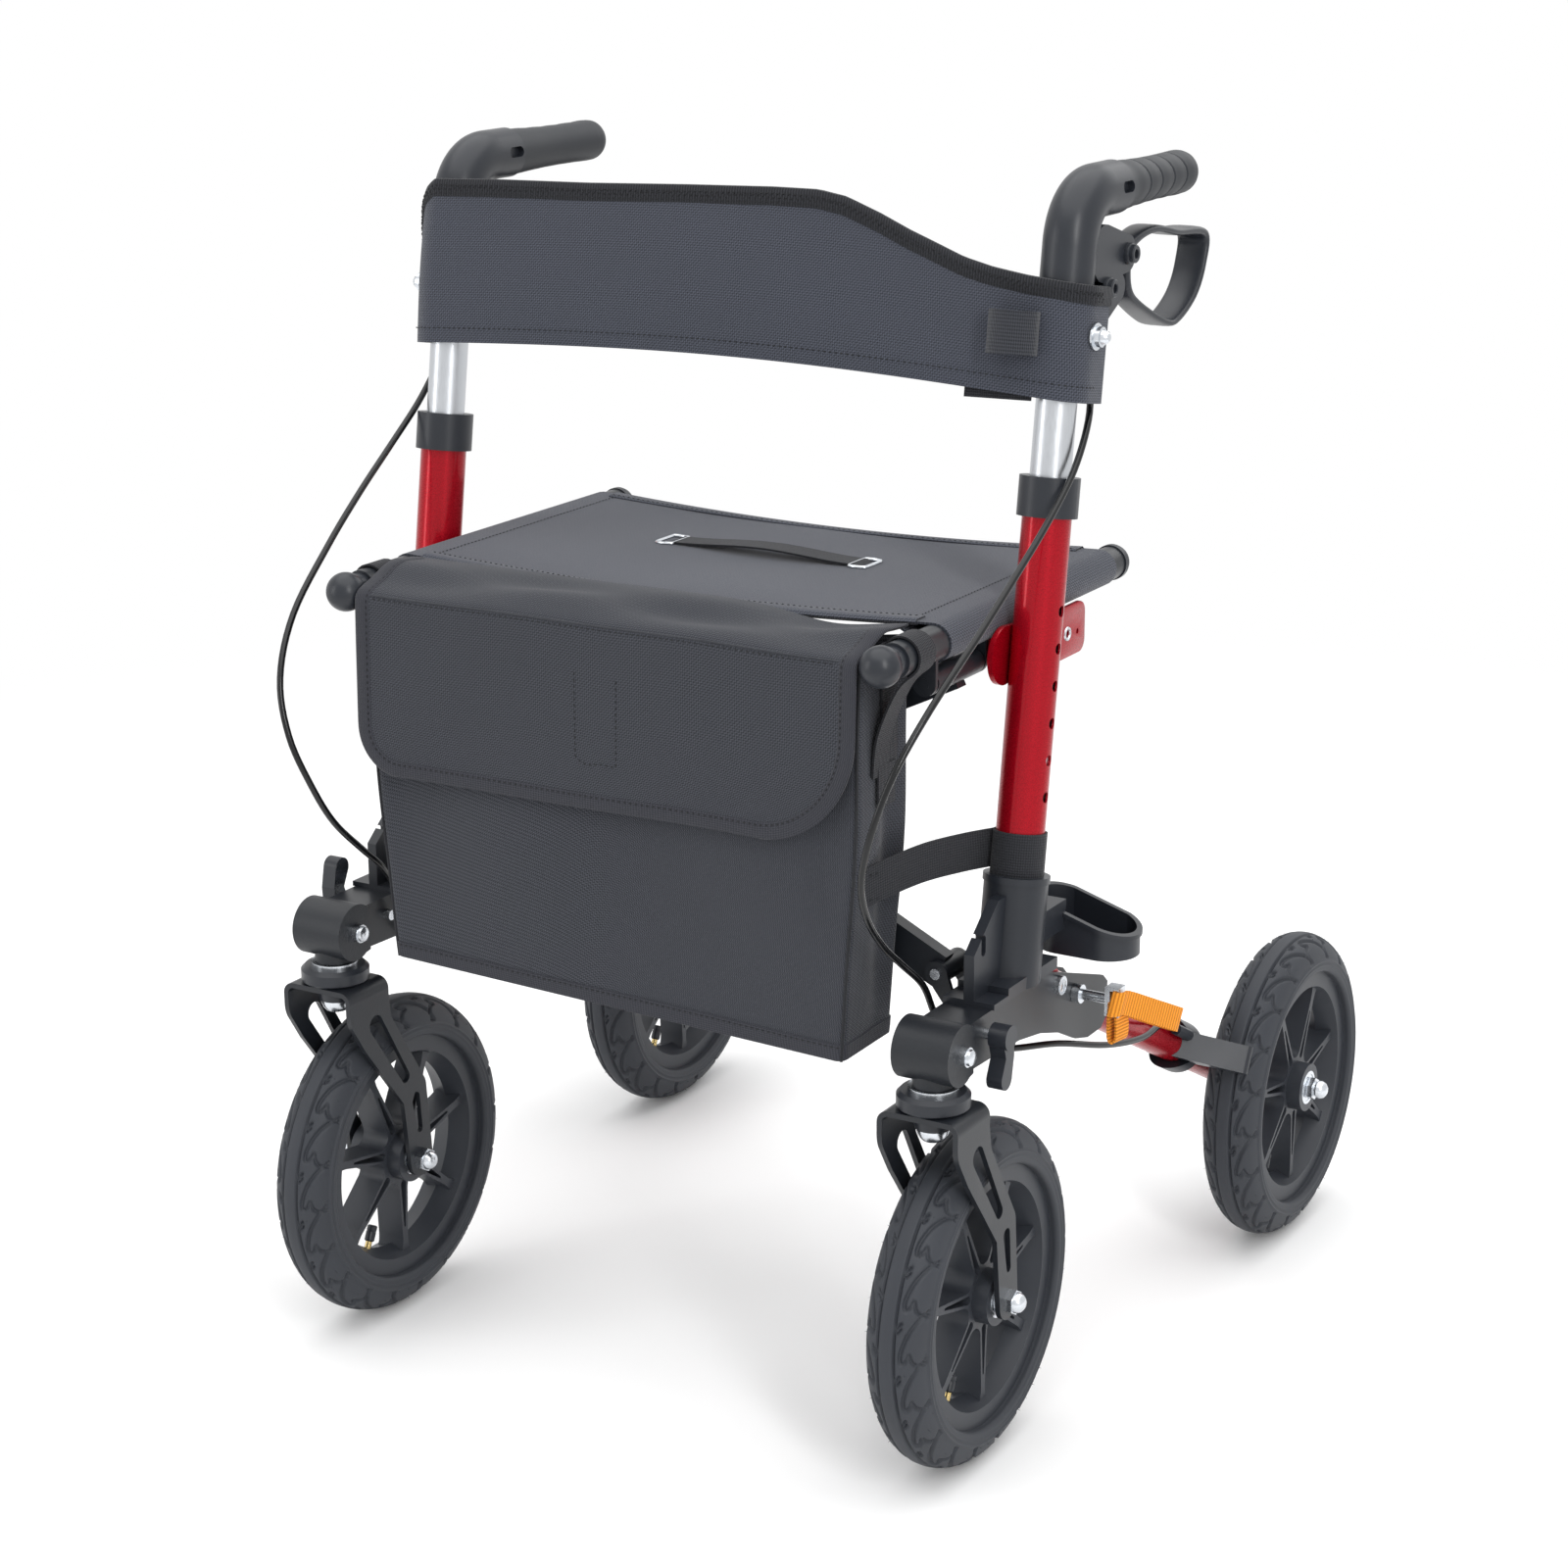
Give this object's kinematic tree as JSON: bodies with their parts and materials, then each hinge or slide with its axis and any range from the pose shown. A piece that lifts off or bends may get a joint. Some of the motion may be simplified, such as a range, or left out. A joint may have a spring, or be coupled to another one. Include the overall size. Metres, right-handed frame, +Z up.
{
  "type": "all terrain rollator",
  "caption": "Folding all terrain rollator: red tube frame on air tyres, swivelling front casters, loop brakes, height adjusting handles, cloth seat, back band and bag.",
  "frame": {"origin": "on the floor, in the middle of the length and the width", "axes": "+X to the left of the person pushing, -Y the way it rolls, +Z up"},
  "size_m": [0.684, 0.74, 0.91],
  "materials": {
    "red_paint": "candy gloss",
    "black_paint": "satin powder coat",
    "black_plastic": "satin moulded",
    "silver_tube": "satin anodised",
    "zinc": "bright zinc",
    "tyre": "matt",
    "rim": "satin moulded",
    "grip_rubber": "matt",
    "cable": "gloss sheath",
    "cloth": "woven polyester",
    "webbing": "webbing",
    "orange_webbing": "webbing"
  },
  "bodies": {
    "left_side": {"left_side_channel": "black_paint", "left_upright_mouldings": "black_plastic", "left_upright_tube": "red_paint", "left_seat_support": "red_paint", "left_caster_knuckle": "black_plastic", "left_side_bolts": "zinc", "left_side_strap": "webbing", "left_brake_cable": "cable", "cane_cup": "black_plastic"},
    "left_handle": {"left_handle_tube": "silver_tube", "left_handle_housing": "black_plastic", "left_grip": "grip_rubber", "back_band": "cloth"},
    "left_lever": {"left_brake_lever": "black_plastic"},
    "left_caster": {"left_caster_fork": "black_paint", "left_caster_headset": "black_plastic", "left_caster_hardware": "zinc"},
    "left_front_wheel": {"left_front_tyre": "tyre", "left_front_rim": "rim"},
    "left_leg": {"left_rear_leg": "red_paint", "left_rear_axle": "zinc"},
    "left_rear_wheel": {"left_rear_tyre": "tyre", "left_rear_rim": "rim"},
    "left_brake": {"left_brake_block": "black_plastic"},
    "left_clamp": {"left_clamp_lever": "black_plastic"},
    "left_pin": {"left_lock_pin": "zinc", "left_pull_strap": "orange_webbing"},
    "left_seat": {"left_seat_tube": "black_paint", "seat_fabric": "cloth", "seat_strap": "webbing", "bag_body": "cloth"},
    "right_side": {"right_side_channel": "black_paint", "right_upright_mouldings": "black_plastic", "right_upright_tube": "red_paint", "right_seat_support": "red_paint", "right_caster_knuckle": "black_plastic", "right_side_bolts": "zinc", "right_side_strap": "webbing", "right_brake_cable": "cable"},
    "right_handle": {"right_handle_tube": "silver_tube", "right_handle_housing": "black_plastic", "right_grip": "grip_rubber"},
    "right_lever": {"right_brake_lever": "black_plastic"},
    "right_caster": {"right_caster_fork": "black_paint", "right_caster_headset": "black_plastic", "right_caster_hardware": "zinc"},
    "right_front_wheel": {"right_front_tyre": "tyre", "right_front_rim": "rim"},
    "right_leg": {"right_rear_leg": "red_paint", "right_rear_axle": "zinc"},
    "right_rear_wheel": {"right_rear_tyre": "tyre", "right_rear_rim": "rim"},
    "right_brake": {"right_brake_block": "black_plastic"},
    "right_clamp": {"right_clamp_lever": "black_plastic"},
    "right_pin": {"right_lock_pin": "zinc", "right_pull_strap": "orange_webbing"},
    "right_seat": {"right_seat_tube": "black_paint"},
    "brace_a": {"cross_bar_a": "black_paint"},
    "brace_b": {"cross_bar_b": "black_paint"},
    "flap": {"bag_flap": "cloth"}
  },
  "joints": [
    {"name": "fold", "type": "hinge", "parent": "left_side", "child": "brace_a", "pos_m": [0.222, -0.213, 0.358], "axis": [0, 1, 0], "range_deg": [0, 52], "deforming": ["seat_fabric", "seat_strap", "back_band", "bag_body", "bag_flap"]},
    {"name": "fold_cross", "type": "hinge", "parent": "brace_a", "child": "brace_b", "pos_m": [0, -0.213, 0.466], "axis": [0, 1, 0], "range_deg": [-104.5, 0.5]},
    {"name": "fold_right_side", "type": "hinge", "parent": "brace_b", "child": "right_side", "pos_m": [-0.222, -0.213, 0.358], "axis": [0, 1, 0], "range_deg": [-0.5, 52.5]},
    {"name": "fold_left_seat", "type": "hinge", "parent": "brace_b", "child": "left_seat", "pos_m": [0.222, -0.213, 0.574], "axis": [0, 1, 0], "range_deg": [-0.5, 52.5]},
    {"name": "fold_right_seat", "type": "hinge", "parent": "brace_a", "child": "right_seat", "pos_m": [-0.222, -0.213, 0.574], "axis": [0, 1, 0], "range_deg": [-52.5, 0.5]},
    {"name": "flap_open", "type": "hinge", "parent": "left_seat", "child": "flap", "pos_m": [0, -0.247, 0.614], "axis": [-1, 0, 0], "range_deg": [0, 100]},
    {"name": "left_handle_slide", "type": "slide", "parent": "left_side", "child": "left_handle", "axis": [0, 0.1495, 0.9888], "range_m": [-0.026, 0.105], "deforming": ["left_brake_cable", "right_brake_cable"]},
    {"name": "right_handle_slide", "type": "slide", "parent": "right_side", "child": "right_handle", "axis": [0, 0.1495, 0.9888], "range_m": [-0.0265, 0.1055]},
    {"name": "left_lever_pull", "type": "hinge", "parent": "left_handle", "child": "left_lever", "pos_m": [0.258, -0.05004, 0.846], "axis": [1, 0, 0], "range_deg": [0, 9], "stiffness_Nm_per_rad": 2},
    {"name": "left_caster_swivel", "type": "hinge", "parent": "left_side", "child": "left_caster", "pos_m": [0.258, -0.301, 0.3], "axis": [0, 0, 1], "continuous": true},
    {"name": "left_front_wheel_spin", "type": "hinge", "parent": "left_caster", "child": "left_front_wheel", "pos_m": [0.258, -0.243, 0.127], "axis": [1, 0, 0], "continuous": true},
    {"name": "left_leg_fold", "type": "hinge", "parent": "left_side", "child": "left_leg", "pos_m": [0.258, -0.146, 0.333], "axis": [-1, 0, 0], "range_deg": [0, 46]},
    {"name": "left_rear_wheel_spin", "type": "hinge", "parent": "left_leg", "child": "left_rear_wheel", "pos_m": [0.3, 0.243, 0.127], "axis": [1, 0, 0], "continuous": true},
    {"name": "left_brake_slide", "type": "slide", "parent": "left_leg", "child": "left_brake", "axis": [0, 0.8837, -0.468], "range_m": [0, 0.0028]},
    {"name": "left_clamp_turn", "type": "hinge", "parent": "left_side", "child": "left_clamp", "pos_m": [0.258, -0.259, 0.333], "axis": [1, 0, 0], "range_deg": [0, 170]},
    {"name": "left_pin_pull", "type": "slide", "parent": "left_side", "child": "left_pin", "axis": [1, 0, 0], "range_m": [0, 0.01], "stiffness_N_per_m": 400},
    {"name": "right_lever_pull", "type": "hinge", "parent": "right_handle", "child": "right_lever", "pos_m": [-0.258, -0.05004, 0.846], "axis": [1, 0, 0], "range_deg": [0, 9], "stiffness_Nm_per_rad": 2},
    {"name": "right_caster_swivel", "type": "hinge", "parent": "right_side", "child": "right_caster", "pos_m": [-0.258, -0.301, 0.3], "axis": [0, 0, 1], "continuous": true},
    {"name": "right_front_wheel_spin", "type": "hinge", "parent": "right_caster", "child": "right_front_wheel", "pos_m": [-0.258, -0.243, 0.127], "axis": [1, 0, 0], "continuous": true},
    {"name": "right_leg_fold", "type": "hinge", "parent": "right_side", "child": "right_leg", "pos_m": [-0.258, -0.146, 0.333], "axis": [-1, 0, 0], "range_deg": [0, 46]},
    {"name": "right_rear_wheel_spin", "type": "hinge", "parent": "right_leg", "child": "right_rear_wheel", "pos_m": [-0.3, 0.243, 0.127], "axis": [1, 0, 0], "continuous": true},
    {"name": "right_brake_slide", "type": "slide", "parent": "right_leg", "child": "right_brake", "axis": [0, 0.8837, -0.468], "range_m": [0, 0.0028]},
    {"name": "right_clamp_turn", "type": "hinge", "parent": "right_side", "child": "right_clamp", "pos_m": [-0.258, -0.259, 0.333], "axis": [-1, 0, 0], "range_deg": [0, 170]},
    {"name": "right_pin_pull", "type": "slide", "parent": "right_side", "child": "right_pin", "axis": [-1, 0, 0], "range_m": [0, 0.01], "stiffness_N_per_m": 400}
  ],
  "couplings": [
    {"joint": "fold_cross", "follows": "fold", "ratio": -2},
    {"joint": "fold_right_side", "follows": "fold", "ratio": 1},
    {"joint": "fold_left_seat", "follows": "fold", "ratio": 1},
    {"joint": "fold_right_seat", "follows": "fold", "ratio": -1},
    {"joint": "right_handle_slide", "follows": "left_handle_slide", "ratio": 1},
    {"joint": "left_brake_slide", "follows": "left_lever_pull", "m_per_rad": 0.0177},
    {"joint": "right_brake_slide", "follows": "right_lever_pull", "m_per_rad": 0.0177}
  ]
}
